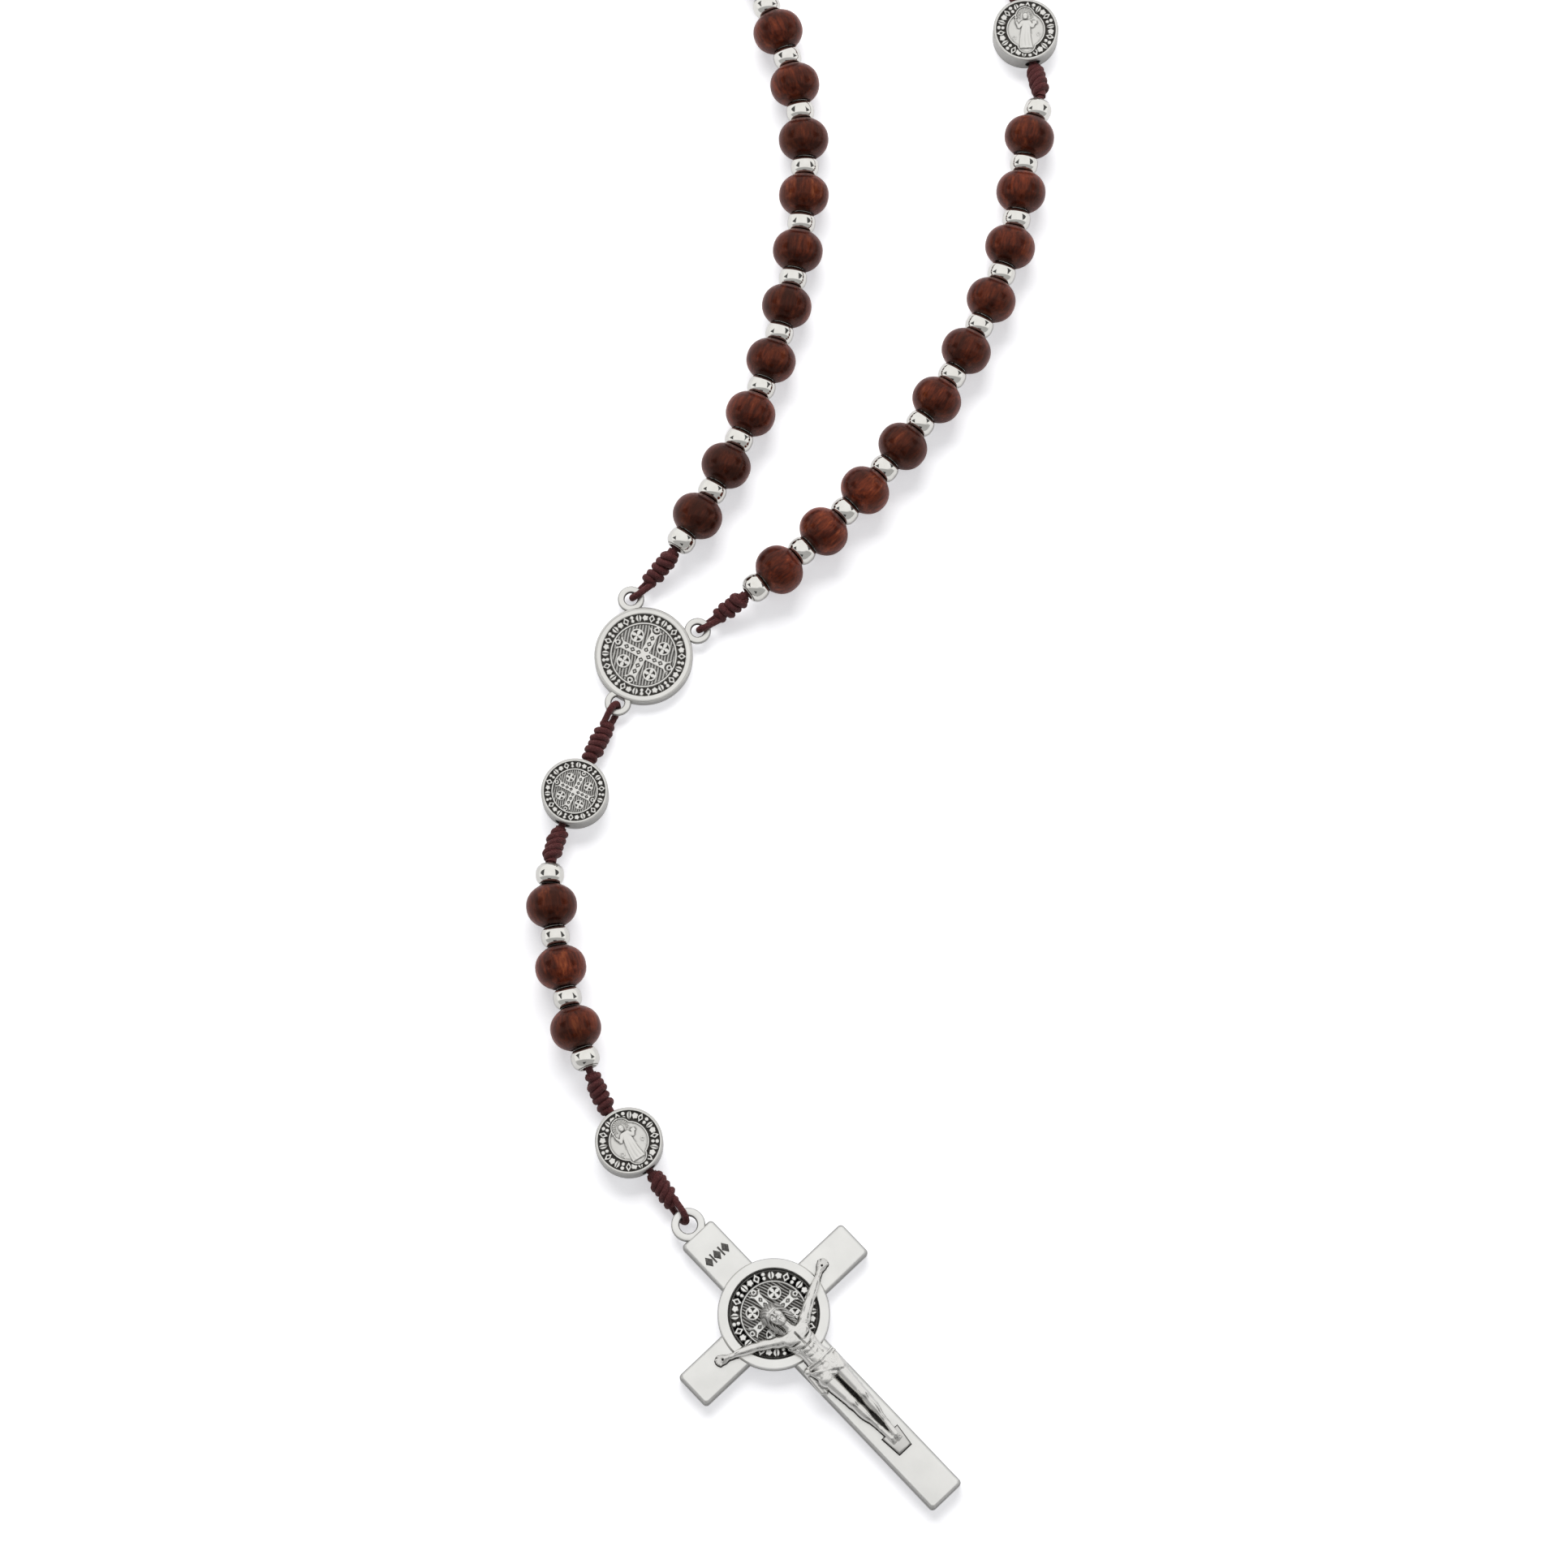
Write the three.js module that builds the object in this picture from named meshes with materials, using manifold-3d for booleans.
// A five-decade rosary lying flat on a table. Millimetres, +Z up, the table is z = 0.
// The origin is under the centre of the centre medal. The loop runs up to +Y, the drop with the crucifix to -Y.
import * as THREE from "three";
import { mergeVertices } from "three/addons/utils/BufferGeometryUtils.js";
import Module from "manifold-3d";

const wasm = await Module();
wasm.setup();

// Beads. Every length along the cord is measured from the bead's own centre.
const WOOD = { radius: 4, shoulderRadius: 3.5, shoulderAt: 2.1, rim: 2.3, half: 3.5, bore: 1, pocketEnd: 2.4 };
const SILVER = { radius: 2.25, bandHalf: 0.8, rim: 1.4, half: 1.65, nestedRim: 1.9, bore: 0.85 };
const MEDAL = { radius: 5.3, thickness: 4, bore: 1.1, rimWidth: 0.7, rimHeight: 0.3 };

// Cord, its barrel knots and its small loops through the eyelets.
const CORD = { radius: 0.6, loopRadius: 0.45 };
const KNOT = { radius: 1.5, groove: 1.2, pitch: 1.1, taper: 0.35 };
const SIDES = 8;
const CORE_STEP = 5;

// Spacing along the cord.
const LOOP_PITCH = 9.46;
const DROP_PITCH = 9.95;
const BEADS_PER_DECADE = 10;
const DECADE = LOOP_PITCH * BEADS_PER_DECADE;
const MEDAL_REACH = 14.2;
const DECADE_STEP = DECADE + 2 * MEDAL_REACH;
const FLEX_GAP = 2.6;
const SOCKET_RADIUS = 2.5;
const KNOT_FROM_MEDAL = 5.75;
const KNOT_FROM_SILVER = 2.45;

// Heights of the cord above the table.
const EYELET_Z = 1.6;
const MEDAL_Z = 2;
const BEAD_Z = 4;

// Centre medal: a disc with three eyelets, each at an angle around the disc.
const CENTRE = { radius: 7.8, thickness: 2.2, rimWidth: 0.8, rimHeight: 0.35, upAngle: 62.5 };
const EYELET = { outer: 2.1, hole: 1, thickness: 0.8, loop: 1.25 };
const EYELET_ANGLES = { left: 102.5, right: 25.2, drop: 242.5 };
const EYELET_REACHES = { left: 9.45, right: 9.45, drop: 8.7 };

// Crucifix, in its own frame: Y up the upright, the crossing of the bars at the origin.
const CROSS = { top: 17.5, bottom: 38.7, halfSpan: 17.35, upright: 6.35, bar: 6.35, thickness: 2.5, bevel: 0.6 };
const BOSS = { radius: 8.7, rimWidth: 0.85, height: 0.7, fieldRadius: 6.9 };
const RING = { outer: 2.65, hole: 1.35, thickness: 1, at: 19.25, z: 1.8, loop: 1.35, neckWidth: 2.4 };
const CROSS_TURN = 43.5;
const FIGURE = {
  head: { size: [1.9, 2.4, 1.9], at: [-0.2, -0.7, 0.9], tilt: 7 },
  chest: { size: [2.4, 3.8, 1.6], at: [0, -6, 0.2] },
  cloth: { size: [2.9, 2.9, 1.8], at: [0, -11.9, 0] },
  shoulder: [1.75, -3.8],
  elbow: [6.3, -2.2],
  hand: [10.6, 0],
  hip: [1.15, -13.4],
  knee: [0.9, -19.2],
  ankle: [0.6, -25.4],
  arm: { upper: 0.95, fore: 0.75, height: 0.45, flatness: 0.9 },
  leg: { thigh: 1.25, shin: 1, height: 0.1, flatness: 1.1 },
  footrest: { width: 3.3, length: 2.9, at: -26.9, height: 0.8 },
};

// Shape of the rosary as it lies: stretches of cord as [length, turn in degrees].
const LEFT = {
  heading: 41,
  first: 12.15,
  stretches: [[14, 17], [30, 13.5], [30, 15], [32.75, 28.5], [MEDAL_REACH, 0]],
};
const RIGHT = {
  heading: 32.5,
  first: 11.3,
  stretches: [[14, 6.2], [30, 13.4], [30, 15.6], [19.9, 17.1], [12, -14.5], [5, 32.5], [MEDAL_REACH - 5, 0]],
};
const DROP = { heading: -116.2, stretches: [[22.75, 5.8], [10, 25.3], [28, 14.5], [14, 17.3], [16, -1.9]] };
// Turns of the two far decades and the top one, chosen so that the two sides meet.
const TURN = { left: -39.21, top: -178.628, right: -25.638 };

const MATERIALS = {
  wood: { color: 0x6b2a18, roughness: 0.3, metalness: 0 },
  silver: { color: 0xd8d6d0, roughness: 0.12, metalness: 1 },
  antique: { color: 0x9b9a96, roughness: 0.38, metalness: 1 },
  cord: { color: 0x3a1512, roughness: 0.7, metalness: 0 },
};

const group = new THREE.Group();
group.name = "rosary";

// ---- solids ----

function solid(geometry) {
  const bare = geometry.index ? geometry : mergeVertices(geometry);
  bare.deleteAttribute("normal");
  bare.deleteAttribute("uv");
  const merged = mergeVertices(bare, 1e-4);
  return new wasm.Manifold(
    new wasm.Mesh({
      numProp: 3,
      vertProperties: new Float32Array(merged.attributes.position.array),
      triVerts: new Uint32Array(merged.index.array),
    }),
  );
}

function join(solids) {
  return solids.reduce((a, b) => a.add(b));
}

function addNode(name, body, look) {
  const mesh = body.getMesh();
  const geometry = new THREE.BufferGeometry();
  geometry.setAttribute("position", new THREE.BufferAttribute(new Float32Array(mesh.vertProperties), 3));
  geometry.setIndex(new THREE.BufferAttribute(new Uint32Array(mesh.triVerts), 1));
  geometry.computeVertexNormals();
  const node = new THREE.Mesh(geometry, new THREE.MeshStandardMaterial(MATERIALS[look]));
  node.name = name;
  group.add(node);
}

// A solid of revolution about Y from a closed profile of [radius, y] points.
function turned(profile, segments) {
  const closed = [...profile, profile[0]].map(([r, y]) => new THREE.Vector2(r, y));
  return new THREE.LatheGeometry(closed, segments);
}

function discAt(radius, low, high, segments) {
  const geometry = new THREE.CylinderGeometry(radius, radius, high - low, segments);
  return geometry.rotateX(Math.PI / 2).translate(0, 0, (low + high) / 2);
}

function boxAt(width, length, low, high, x = 0, y = 0) {
  return new THREE.BoxGeometry(width, length, high - low).translate(x, y, (low + high) / 2);
}

function flatRing(outer, inner, low, high, segments) {
  const profile = [[inner, low], [outer, low], [outer, high], [inner, high]];
  return turned(profile, segments).rotateX(Math.PI / 2);
}

// ---- the cord's path ----

const radians = THREE.MathUtils.degToRad;

function smooth(t) {
  const c = Math.min(1, Math.max(0, t));
  return c * c * (3 - 2 * c);
}

// Heights are [station, z] pairs joined by smooth steps.
function heightAt(heights, s) {
  let z = heights[0][1];
  for (let i = 1; i < heights.length; i++) {
    const [s0, z0] = heights[i - 1];
    const [s1, z1] = heights[i];
    if (s >= s0) z = z0 + (z1 - z0) * smooth((s - s0) / (s1 - s0));
  }
  return z;
}

// A run starts at a point and follows its stretches; at(s) gives the point s along it.
function makeRun(start, headingDegrees, stretches, heights) {
  function at(station) {
    let [x, y] = start;
    let heading = radians(headingDegrees);
    let left = station;
    for (const [length, turn] of [...stretches, [Infinity, 0]]) {
      const d = Math.min(left, length);
      const bend = radians(turn) / length;
      if (Math.abs(bend) < 1e-9) {
        x += d * Math.cos(heading);
        y += d * Math.sin(heading);
      } else {
        x += (Math.sin(heading + bend * d) - Math.sin(heading)) / bend;
        y -= (Math.cos(heading + bend * d) - Math.cos(heading)) / bend;
      }
      heading += bend * d;
      left -= d;
      if (left <= 0) break;
    }
    return new THREE.Vector3(x, y, heightAt(heights, station));
  }
  return { at };
}

// A frame on a run: Y along the cord, X across it in the table's plane, Z up.
function frameAt(run, s) {
  const step = 0.05;
  const along = run.at(s + step).sub(run.at(Math.max(0, s - step))).normalize();
  const across = along.clone().cross(new THREE.Vector3(0, 0, 1)).normalize();
  const up = across.clone().cross(along);
  return new THREE.Matrix4().makeBasis(across, along, up).setPosition(run.at(s));
}

// A closed tube along a run with a radius at each station: [station, radius] pairs.
function sweep(run, rings) {
  const points = [];
  for (const [s, radius] of rings) {
    const frame = frameAt(run, s);
    for (let k = 0; k < SIDES; k++) {
      const a = (2 * Math.PI * (k + 0.5)) / SIDES;
      points.push(new THREE.Vector3(radius * Math.cos(a), 0, radius * Math.sin(a)).applyMatrix4(frame));
    }
  }
  const start = points.push(run.at(rings[0][0])) - 1;
  const end = points.push(run.at(rings[rings.length - 1][0])) - 1;
  const faces = [];
  for (let i = 0; i + 1 < rings.length; i++) {
    for (let k = 0; k < SIDES; k++) {
      const a = i * SIDES + k;
      const b = i * SIDES + ((k + 1) % SIDES);
      faces.push(a, a + SIDES, b, b, a + SIDES, b + SIDES);
    }
  }
  const last = (rings.length - 1) * SIDES;
  for (let k = 0; k < SIDES; k++) {
    const next = (k + 1) % SIDES;
    faces.push(start, k, next, end, last + next, last + k);
  }
  const geometry = new THREE.BufferGeometry().setFromPoints(points);
  geometry.setIndex(faces);
  return geometry;
}

// ---- pieces of a cord, as ring lists ----

function bareCord(from, to) {
  const steps = Math.max(1, Math.ceil((to - from) / CORE_STEP));
  return Array.from({ length: steps + 1 }, (_, i) => [from + ((to - from) * i) / steps, CORD.radius]);
}

function barrelKnot(from, to) {
  const wraps = Math.round((to - from) / KNOT.pitch);
  const pitch = (to - from - 2 * KNOT.taper) / wraps;
  const rings = [[from, CORD.radius], [from + KNOT.taper, KNOT.groove]];
  for (let i = 0; i < wraps; i++) {
    const begin = from + KNOT.taper + i * pitch;
    rings.push([begin + pitch / 2, KNOT.radius], [begin + pitch, KNOT.groove]);
  }
  rings.push([to, CORD.radius]);
  return rings;
}

function silverOnCord(s) {
  return [
    [s - SILVER.half, CORD.radius], [s - SILVER.half, SILVER.rim], [s - SILVER.bandHalf, SILVER.radius],
    [s + SILVER.bandHalf, SILVER.radius], [s + SILVER.half, SILVER.rim], [s + SILVER.half, CORD.radius],
  ];
}

// The part of a silver bead that shows between two wood beads touching it.
function silverNested(s) {
  const reach = LOOP_PITCH / 2 - WOOD.half;
  return [[s - reach, SILVER.nestedRim], [s, SILVER.radius], [s + reach, SILVER.nestedRim]];
}

function woodOnCord(s) {
  return [
    [s - WOOD.half, WOOD.rim], [s - WOOD.shoulderAt, WOOD.shoulderRadius], [s, WOOD.radius],
    [s + WOOD.shoulderAt, WOOD.shoulderRadius], [s + WOOD.half, WOOD.rim],
  ];
}

// Silver beads first..last of a decade on bare cord, from one station to another.
function silverStrand(decadeStart, first, last, from, to) {
  const rings = [[from, CORD.radius]];
  for (let i = first; i <= last; i++) rings.push(...silverOnCord(decadeStart + i * LOOP_PITCH));
  rings.push([to, CORD.radius]);
  return rings;
}

// Wood and silver beads in a closed row between two silver beads, with or without the first of them.
function beadedRow(decadeStart, first, last, startsWithWood = false) {
  const reach = LOOP_PITCH / 2 - WOOD.half;
  const rings = [];
  for (let i = first; i <= last; i++) {
    const s = decadeStart + i * LOOP_PITCH;
    const whole = silverOnCord(s);
    if (i === last) rings.push([s - reach, SILVER.nestedRim], whole[3], whole[4]);
    else if (i > first) rings.push(...silverNested(s));
    else if (!startsWithWood) rings.push(whole[0], whole[1], whole[2], [s + reach, SILVER.nestedRim]);
    if (i < last) rings.push(...woodOnCord(s + LOOP_PITCH / 2));
  }
  return rings;
}

// A round loop of cord standing on edge around an eyelet's wire.
function eyeletLoop(hole, headingDegrees, wire, loopRadius, z) {
  const h = radians(headingDegrees);
  return new THREE.TorusGeometry(loopRadius, CORD.loopRadius, 6, 12)
    .rotateX(Math.PI / 2)
    .rotateZ(h)
    .translate(hole.x + wire * Math.cos(h), hole.y + wire * Math.sin(h), z);
}

// ---- beads on their own ----

function woodBead() {
  return turned(
    [
      [WOOD.bore, -WOOD.pocketEnd], [WOOD.rim, -WOOD.half], [WOOD.shoulderRadius, -WOOD.shoulderAt],
      [WOOD.radius, 0], [WOOD.shoulderRadius, WOOD.shoulderAt], [WOOD.rim, WOOD.half],
      [WOOD.bore, WOOD.pocketEnd],
    ],
    12,
  );
}

function silverBead() {
  return turned(
    [
      [SILVER.bore, -SILVER.half], [SILVER.rim, -SILVER.half], [SILVER.radius, -SILVER.bandHalf],
      [SILVER.radius, SILVER.bandHalf], [SILVER.rim, SILVER.half], [SILVER.bore, SILVER.half],
    ],
    10,
  );
}

// A coin-shaped bead bored across its diameter, with a rim and a raised cross on both faces.
function medalBead() {
  const half = MEDAL.thickness / 2;
  const field = half - MEDAL.rimHeight;
  const inner = MEDAL.radius - MEDAL.rimWidth;
  const profile = [[0, -field], [inner, -field], [inner + 0.2, -half], [MEDAL.radius - 0.3, -half]];
  profile.push([MEDAL.radius, -half + 0.5], [MEDAL.radius, half - 0.5]);
  profile.push([MEDAL.radius - 0.3, half], [inner + 0.2, half], [inner, field], [0, field]);
  const coin = solid(turned(profile, 18).rotateX(Math.PI / 2));
  const barWidth = 1.2;
  const barLength = 1.5 * MEDAL.radius;
  const raised = half - 0.08;
  const bars = [boxAt(barWidth, barLength, -raised, raised), boxAt(barLength, barWidth, -raised, raised)];
  const bore = solid(new THREE.CylinderGeometry(MEDAL.bore, MEDAL.bore, 4 * MEDAL.radius, 8));
  return join([coin, ...bars.map(solid)]).subtract(bore);
}

// ---- centre medal ----

function onCircle(radius, degrees) {
  return new THREE.Vector2(radius * Math.cos(radians(degrees)), radius * Math.sin(radians(degrees)));
}

function eyeletHole(side) {
  return onCircle(EYELET_REACHES[side], EYELET_ANGLES[side]);
}

function centreMedal() {
  const { radius, thickness, rimWidth, rimHeight } = CENTRE;
  const field = thickness - rimHeight;
  const pieces = [solid(discAt(radius, 0, field, 32)), solid(flatRing(radius, radius - rimWidth, 0, thickness, 32))];
  const figure = new THREE.SphereGeometry(1, 10, 6).scale(2, 4, 0.7);
  const head = new THREE.SphereGeometry(1.3, 8, 6).scale(1, 1.15, 0.6).translate(0, 4.1, 0);
  for (const relief of [figure, head]) {
    pieces.push(solid(relief.rotateZ(radians(CENTRE.upAngle - 90)).translate(0, 0, field)));
  }
  const low = EYELET_Z - EYELET.thickness / 2;
  const high = EYELET_Z + EYELET.thickness / 2;
  const holes = [];
  for (const side of Object.keys(EYELET_ANGLES)) {
    const { x, y } = eyeletHole(side);
    const neck = onCircle(radius - 0.1, EYELET_ANGLES[side]);
    pieces.push(solid(discAt(EYELET.outer, low, high, 16).translate(x, y, 0)));
    pieces.push(solid(discAt(EYELET.outer - 0.4, low, high, 12).translate(neck.x, neck.y, 0)));
    holes.push(solid(discAt(EYELET.hole, low - 1, high + 1, 16).translate(x, y, 0)));
  }
  return holes.reduce((a, b) => a.subtract(b), join(pieces));
}

// ---- crucifix ----

// The outline of two crossing bars, inset so that the bevel brings it out to size.
function crossOutline(inset) {
  const w = CROSS.upright / 2 - inset;
  const b = CROSS.bar / 2 - inset;
  const span = CROSS.halfSpan - inset;
  const corners = [[w, b], [span, b], [span, -b], [w, -b], [w, inset - CROSS.bottom]];
  const mirrored = corners.map(([x, y]) => [-x, y]).reverse();
  const top = CROSS.top - inset;
  return new THREE.Shape([[w, top], ...corners, ...mirrored, [-w, top]].map(([x, y]) => new THREE.Vector2(x, y)));
}

function plate() {
  const { bevel, thickness } = CROSS;
  return new THREE.ExtrudeGeometry(crossOutline(bevel), {
    depth: thickness - 2 * bevel,
    bevelEnabled: true,
    bevelThickness: bevel,
    bevelSize: bevel,
    bevelSegments: 1,
  }).translate(0, 0, bevel);
}

function boss() {
  const top = CROSS.thickness + BOSS.height;
  const rim = BOSS.radius - BOSS.rimWidth;
  const profile = [[0, 0.4], [BOSS.radius - 0.6, 0.4], [BOSS.radius, 1], [BOSS.radius, top - 0.4]];
  profile.push([BOSS.radius - 0.3, top], [rim, top], [rim - 0.3, top - 0.35]);
  profile.push([BOSS.fieldRadius, top - 0.35], [BOSS.fieldRadius - 0.3, top - 0.7], [0, top - 0.7]);
  return turned(profile, 40).rotateX(Math.PI / 2);
}

// A rounded limb from one point to another, flattened onto the plate.
function limb(from, to, radius, base, lift) {
  const a = new THREE.Vector3(...from, 0);
  const b = new THREE.Vector3(...to, 0);
  const along = b.clone().sub(a);
  const turn = new THREE.Quaternion().setFromUnitVectors(new THREE.Vector3(0, 1, 0), along.clone().normalize());
  const mid = a.add(b).multiplyScalar(0.5);
  return new THREE.CapsuleGeometry(radius, along.length(), 2, 7)
    .applyQuaternion(turn)
    .scale(1, 1, lift)
    .translate(mid.x, mid.y, base);
}

// An egg-shaped form of the figure, its middle at a height above the plate's face.
function ellipsoid({ size, at: [x, y, z], tilt = 0 }, base) {
  return new THREE.SphereGeometry(1, 10, 8)
    .scale(...size)
    .rotateZ(radians(tilt))
    .translate(x, y, base + z);
}

// The figure: head, chest, cloth and limbs as plain rounded forms, standing on a footrest block.
function corpus() {
  const base = CROSS.thickness;
  const { shoulder, elbow, hand, hip, knee, ankle, arm, leg, footrest } = FIGURE;
  const forms = [FIGURE.head, FIGURE.chest, FIGURE.cloth].map((form) => ellipsoid(form, base));
  for (const side of [-1, 1]) {
    const mirrored = ([x, y]) => [side * x, y];
    const armBase = base + arm.height;
    const legBase = base + leg.height;
    forms.push(limb(mirrored(shoulder), mirrored(elbow), arm.upper, armBase, arm.flatness));
    forms.push(limb(mirrored(elbow), mirrored(hand), arm.fore, armBase, arm.flatness));
    forms.push(limb(mirrored(hip), mirrored(knee), leg.thigh, legBase, leg.flatness));
    forms.push(limb(mirrored(knee), mirrored(ankle), leg.shin, legBase, leg.flatness));
  }
  const sunk = 0.6;
  forms.push(boxAt(footrest.width, footrest.length, base - sunk, base + footrest.height, 0, footrest.at));
  return forms;
}

// Three raised lozenges across the upright above the boss.
function plaque() {
  const lozenge = { top: 0.6, foot: 0.75, height: 0.9, spacing: 1.7, at: 12.7, rise: 0.05 };
  return [-1, 0, 1].map((place) =>
    new THREE.CylinderGeometry(lozenge.top, lozenge.foot, lozenge.height, 4)
      .rotateX(Math.PI / 2)
      .translate(place * lozenge.spacing, lozenge.at, CROSS.thickness + lozenge.rise),
  );
}

function crucifix(hole, base) {
  const low = RING.z - RING.thickness / 2;
  const high = RING.z + RING.thickness / 2;
  const eyelet = discAt(RING.outer, low, high, 20).translate(0, RING.at, 0);
  const neck = boxAt(RING.neckWidth, 2, low, high, 0, CROSS.top - 0.6);
  const body = join([plate(), boss(), eyelet, neck, ...corpus(), ...plaque()].map(solid));
  const bored = body.subtract(solid(discAt(RING.hole, low - 1, high + 1, 16).translate(0, RING.at, 0)));
  const pose = new THREE.Matrix4()
    .makeTranslation(hole.x, hole.y, base)
    .multiply(new THREE.Matrix4().makeRotationZ(radians(CROSS_TURN)))
    .multiply(new THREE.Matrix4().makeTranslation(0, -RING.at, 0));
  return bored.transform([...pose.elements]);
}

// ---- runs ----

// Heights of a side of the loop: down to each medal bead and up again.
function loopHeights(first, decades) {
  const heights = [[2.5, EYELET_Z], [first - 1, BEAD_Z]];
  for (let d = 0; d < decades; d++) {
    const medal = first + DECADE + MEDAL_REACH + d * DECADE_STEP;
    heights.push([medal - MEDAL_REACH + 1, BEAD_Z], [medal - KNOT_FROM_MEDAL, MEDAL_Z]);
    heights.push([medal + KNOT_FROM_MEDAL, MEDAL_Z], [medal + MEDAL_REACH - 1, BEAD_Z]);
  }
  return heights;
}

// Beyond the first medal bead: a decade, a straight medal group, and half of the top decade.
function outerStretches(sideTurn, topTurn) {
  return [
    [MEDAL_REACH, 0], [DECADE, sideTurn], [MEDAL_REACH, 0],
    [MEDAL_REACH, 0], [DECADE / 2, topTurn / 2],
  ];
}

const leftHole = eyeletHole("left");
const rightHole = eyeletHole("right");
const dropHole = eyeletHole("drop");

const left = makeRun(
  [leftHole.x, leftHole.y], LEFT.heading,
  [...LEFT.stretches, ...outerStretches(TURN.left, TURN.top)], loopHeights(LEFT.first, 2),
);
const right = makeRun(
  [rightHole.x, rightHole.y], RIGHT.heading,
  [...RIGHT.stretches, ...outerStretches(TURN.right, -TURN.top)], loopHeights(RIGHT.first, 2),
);

// Stations along the drop, from the centre medal's eyelet to the crucifix's.
const DROP_AT = { upperMedal: 16.25, silver1: 30.35, lowerMedal: 74.95, crucifix: 90.75 };
const dropSilvers = [0, 1, 2, 3].map((i) => DROP_AT.silver1 + i * DROP_PITCH);
const dropHeights = [
  [2.5, EYELET_Z], [DROP_AT.upperMedal - KNOT_FROM_MEDAL, MEDAL_Z],
  [DROP_AT.upperMedal + KNOT_FROM_MEDAL, MEDAL_Z], [DROP_AT.silver1 - 1, BEAD_Z],
  [dropSilvers[3] + 1, BEAD_Z], [DROP_AT.lowerMedal - KNOT_FROM_MEDAL, MEDAL_Z],
  [DROP_AT.lowerMedal + KNOT_FROM_MEDAL, MEDAL_Z], [DROP_AT.crucifix - 3, RING.z],
];
const drop = makeRun([dropHole.x, dropHole.y], DROP.heading, DROP.stretches, dropHeights);

// ---- the loop's cord and beads ----

function placed(geometry, run, s) {
  return solid(geometry.applyMatrix4(frameAt(run, s)));
}

function placedMedal(run, s) {
  return medalBead().transform([...frameAt(run, s).elements]);
}

function addWoodBeads(side, run, first) {
  for (let i = 0; i < BEADS_PER_DECADE; i++) {
    addNode(`wood_${side}_${i + 1}`, placed(woodBead(), run, first + (i + 0.5) * LOOP_PITCH), "wood");
  }
}

// The two knots on either side of a medal bead, with the cord through the bead.
function medalKnots(medal) {
  return [
    ...barrelKnot(medal - MEDAL_REACH + KNOT_FROM_SILVER, medal - KNOT_FROM_MEDAL),
    ...barrelKnot(medal + KNOT_FROM_MEDAL, medal + MEDAL_REACH - KNOT_FROM_SILVER),
  ];
}

// A decade next to the centre medal: cord and silver beads in two lengths that meet at the middle silver bead.
function addNearDecade(side, run, { first, heading }, hole) {
  const wire = (EYELET.outer + EYELET.hole) / 2;
  const middle = first + 5 * LOOP_PITCH;
  const end = first + DECADE;
  const knotEnd = first - SILVER.half - 0.2;
  const lower = [
    ...bareCord(wire + EYELET.loop - 0.2, 3), ...barrelKnot(3.1, knotEnd),
    ...silverStrand(first, 0, 5, knotEnd + 0.1, middle + SILVER.half + 0.1),
  ];
  const loop = solid(eyeletLoop(hole, heading, wire, EYELET.loop, EYELET_Z));
  addNode(`cord_${side}_lower`, loop.add(solid(sweep(run, lower))), "cord");
  const upper = silverStrand(first, 6, 10, middle + FLEX_GAP, end + SILVER.half + 0.1);
  addNode(`cord_${side}_upper`, solid(sweep(run, upper)), "cord");
  addWoodBeads(side, run, first);
}

// The decade beyond the first medal bead, in two halves with a socket where the upper one bends.
function addFarDecade(side, run, start) {
  addNode(`decade_${side}_lower`, solid(sweep(run, beadedRow(start, 0, 5))), "wood");
  const bend = run.at(start + 5 * LOOP_PITCH);
  const socket = new THREE.SphereGeometry(SOCKET_RADIUS, 12, 8).translate(bend.x, bend.y, bend.z);
  const upper = solid(sweep(run, beadedRow(start, 5, 10, true)));
  addNode(`decade_${side}_upper`, upper.subtract(solid(socket)), "wood");
}

// Half of the top: a medal bead's two knots, then the decade up to its middle silver bead.
function topHalf(run, medal, overlap) {
  const rings = [...medalKnots(medal), ...beadedRow(medal + MEDAL_REACH, 0, 5).slice(0, -2)];
  const middle = medal + MEDAL_REACH + 5 * LOOP_PITCH;
  return solid(sweep(run, [...rings, [middle + overlap, SILVER.nestedRim]]));
}

function addLoop() {
  const sides = [["left", left, LEFT, leftHole], ["right", right, RIGHT, rightHole]];
  const halves = [];
  for (const [side, run, shape, hole] of sides) {
    const nearMedal = shape.first + DECADE + MEDAL_REACH;
    const farMedal = nearMedal + DECADE_STEP;
    addNearDecade(side, run, shape, hole);
    addNode(`cord_${side}_medal`, solid(sweep(run, medalKnots(nearMedal))), "cord");
    addNode(`medal_${side}_near`, placedMedal(run, nearMedal), "antique");
    addFarDecade(side, run, nearMedal + MEDAL_REACH);
    addNode(`medal_${side}_far`, placedMedal(run, farMedal), "antique");
    halves.push(topHalf(run, farMedal, 0.4));
  }
  addNode("decade_top", join(halves), "wood");
}

// ---- the drop: seven lengths of cord, two medal beads, four silver and three wood beads ----

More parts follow.
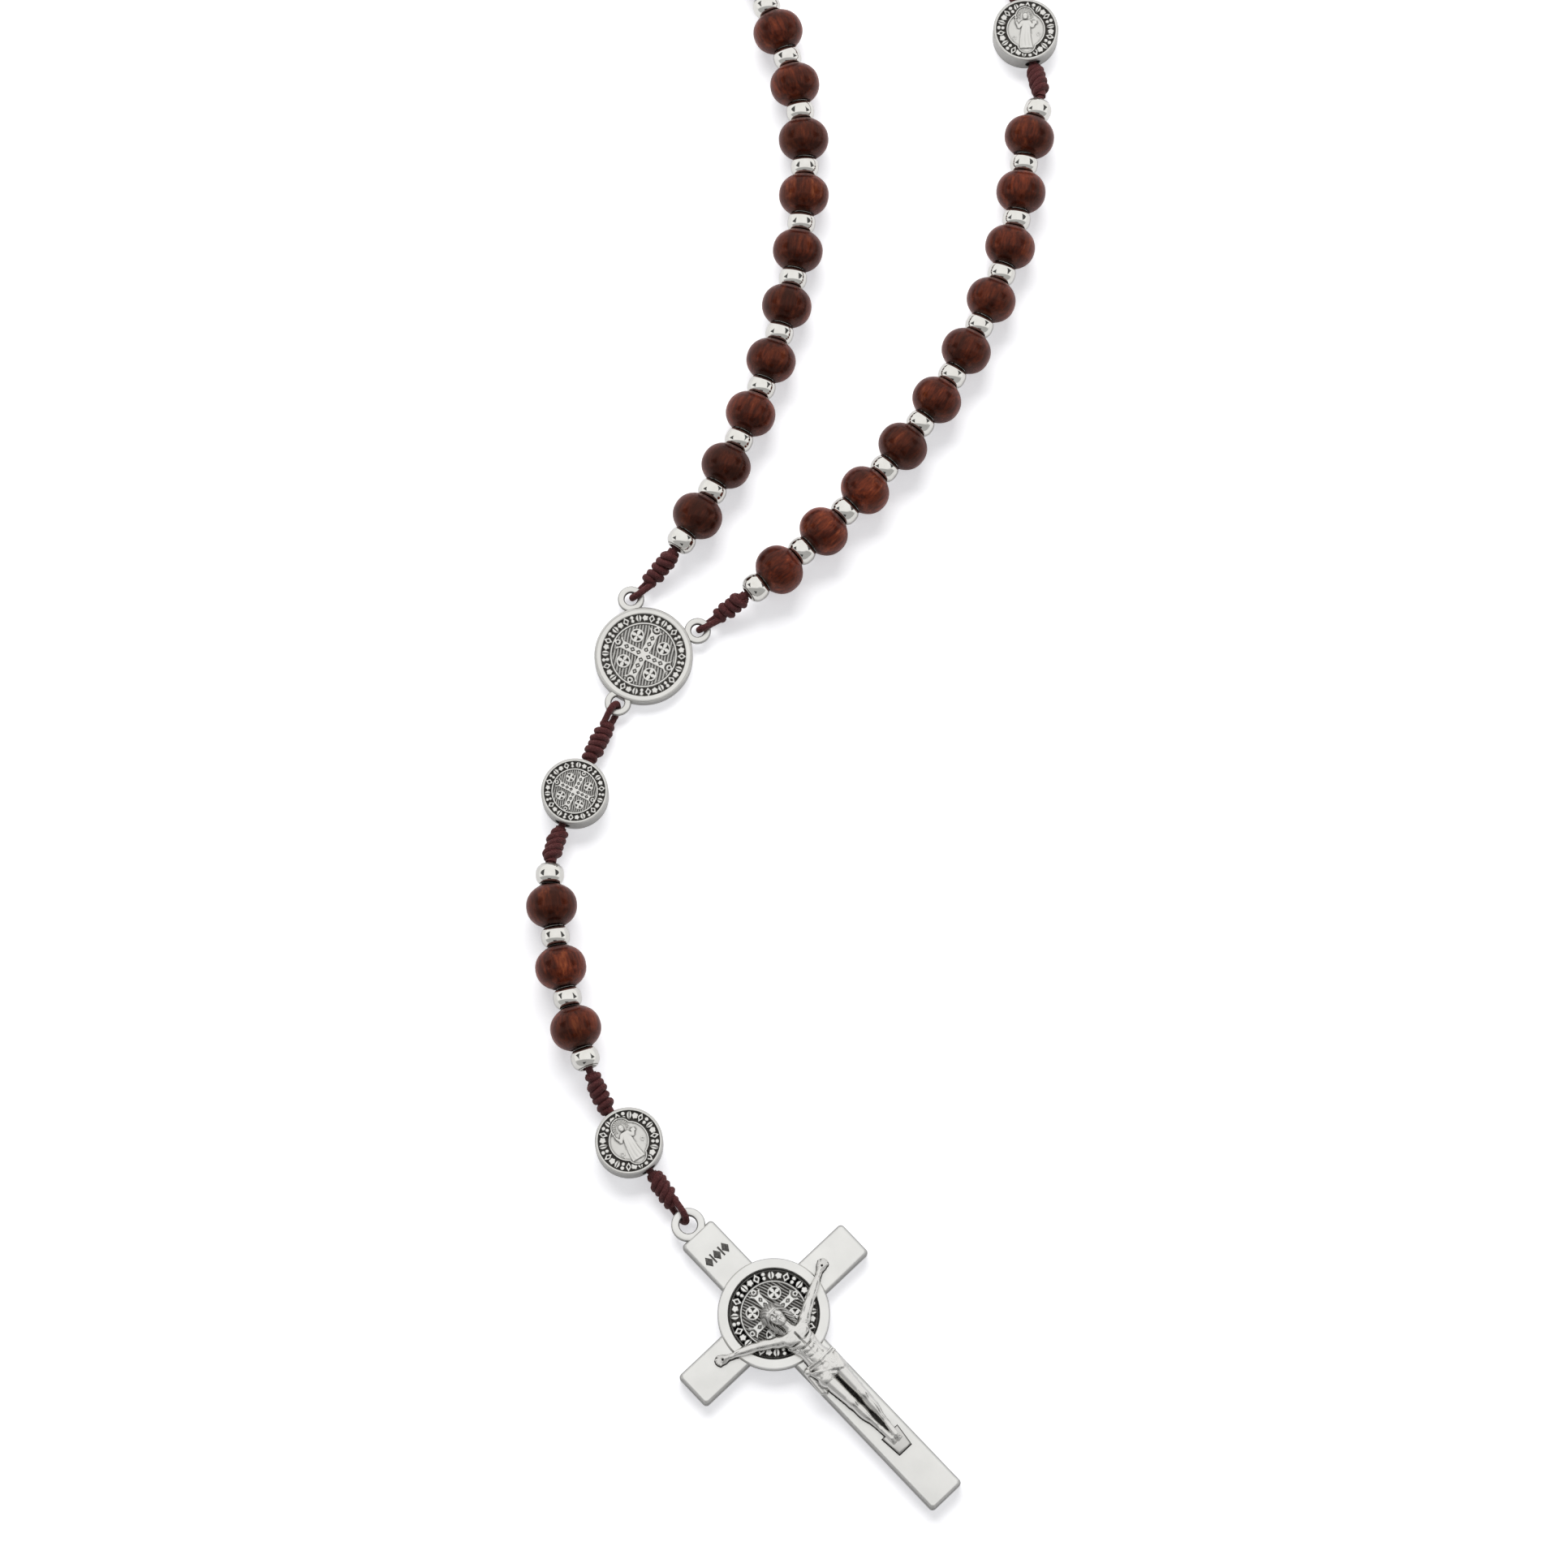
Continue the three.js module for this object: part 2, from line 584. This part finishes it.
function addDrop() {
  const wire = (EYELET.outer + EYELET.hole) / 2;
  const ringWire = (RING.outer + RING.hole) / 2;
  const { upperMedal, lowerMedal, crucifix: end } = DROP_AT;
  const through = 1.2;
  const cord = (number, rings, ...extra) => {
    addNode(`cord_drop_${number}`, join([solid(sweep(drop, rings)), ...extra.map(solid)]), "cord");
  };
  const firstLoop = eyeletLoop(dropHole, DROP.heading, wire, EYELET.loop, EYELET_Z);
  const toMedal = [...bareCord(wire + EYELET.loop - 0.2, 3), ...barrelKnot(3.1, upperMedal - KNOT_FROM_MEDAL)];
  cord(1, [...toMedal, [upperMedal + MEDAL.radius, CORD.radius]], firstLoop);
  const second = barrelKnot(upperMedal + KNOT_FROM_MEDAL, dropSilvers[0] - SILVER.half - 0.2);
  cord(2, [...second, [dropSilvers[0] + through, CORD.radius]]);
  for (let i = 0; i < 3; i++) {
    cord(3 + i, bareCord(dropSilvers[i] + FLEX_GAP, dropSilvers[i + 1] + through));
    addNode(`wood_drop_${i + 1}`, placed(woodBead(), drop, dropSilvers[i] + DROP_PITCH / 2), "wood");
  }
  dropSilvers.forEach((s, i) => addNode(`silver_drop_${i + 1}`, placed(silverBead(), drop, s), "silver"));
  const sixth = barrelKnot(dropSilvers[3] + KNOT_FROM_SILVER, lowerMedal - KNOT_FROM_MEDAL);
  cord(6, [...sixth, [lowerMedal + MEDAL.radius, CORD.radius]]);
  const loopEnd = end - ringWire - RING.loop;
  const last = barrelKnot(lowerMedal + KNOT_FROM_MEDAL, loopEnd - 0.3);
  const ringHole = drop.at(end);
  const lastLoop = eyeletLoop(ringHole, ringHeading(ringHole), ringWire, RING.loop, RING.z);
  cord(7, [...last, [loopEnd + 0.25, CORD.radius]], lastLoop);
  addNode("medal_drop_upper", placedMedal(drop, upperMedal), "antique");
  addNode("medal_drop_lower", placedMedal(drop, lowerMedal), "antique");
  addNode("crucifix", crucifix(ringHole, 0), "antique");
}

// The direction from the crucifix's eyelet back along the drop.
function ringHeading(hole) {
  const back = drop.at(DROP_AT.crucifix - 3).sub(hole);
  return THREE.MathUtils.radToDeg(Math.atan2(back.y, back.x));
}

addNode("centre_medal", centreMedal(), "antique");
addLoop();
addDrop();

export default group;
